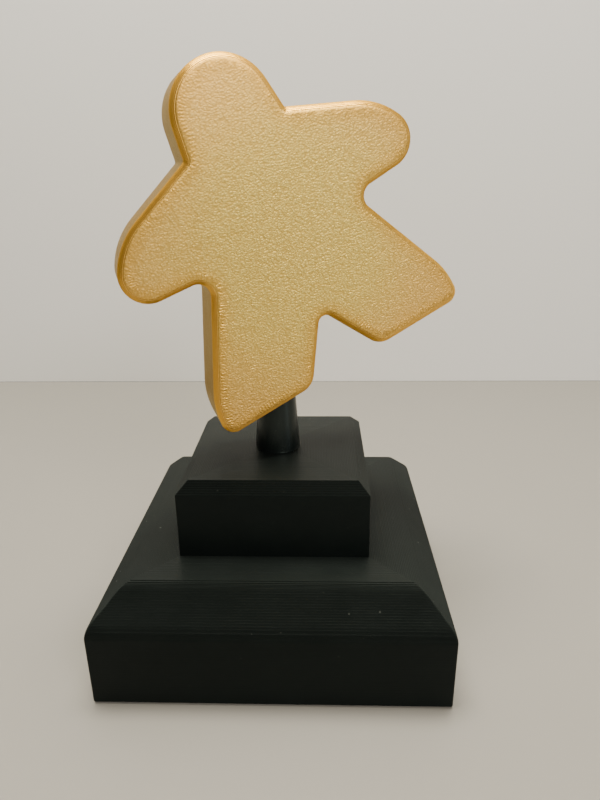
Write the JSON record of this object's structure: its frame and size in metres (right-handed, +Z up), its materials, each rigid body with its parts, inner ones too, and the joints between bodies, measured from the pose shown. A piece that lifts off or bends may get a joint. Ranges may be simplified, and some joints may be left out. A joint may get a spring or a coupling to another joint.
{
  "type": "meeple trophy",
  "caption": "Gold printed meeple balanced on one leg, leaning over a short tapered post on a two-step square black plinth.",
  "frame": {"origin": "centre of the plinth's flat underside, on the floor, on the axis of the post", "axes": "+Z up along the post, +X to the right seen from the front, -Y towards the viewer; the meeple is turned 20 degrees about Z"},
  "size_m": [0.0949, 0.09, 0.1499],
  "materials": {
    "gold_plastic": "silk gold printed plastic, faces pebbled, edges smooth",
    "black_post": "satin black printed plastic",
    "black_upper": "satin black printed plastic",
    "black_lower": "satin black printed plastic with fine layer steps on the chamfer",
    "bolt_steel": "zinc plated",
    "washer_steel": "zinc plated",
    "spring_steel": "blackened spring steel",
    "insert_brass": "turned and knurled",
    "dowel_steel_left": "ground",
    "dowel_steel_right": "ground"
  },
  "bodies": {
    "root": {"meeple": "gold_plastic", "post": "black_post", "upper_plinth": "black_upper", "lower_plinth": "black_lower", "tie_bolt": "bolt_steel", "washer": "washer_steel", "spring_washer": "spring_steel", "leg_insert": "insert_brass", "dowel_left": "dowel_steel_left", "dowel_right": "dowel_steel_right"}
  },
  "joints": []
}
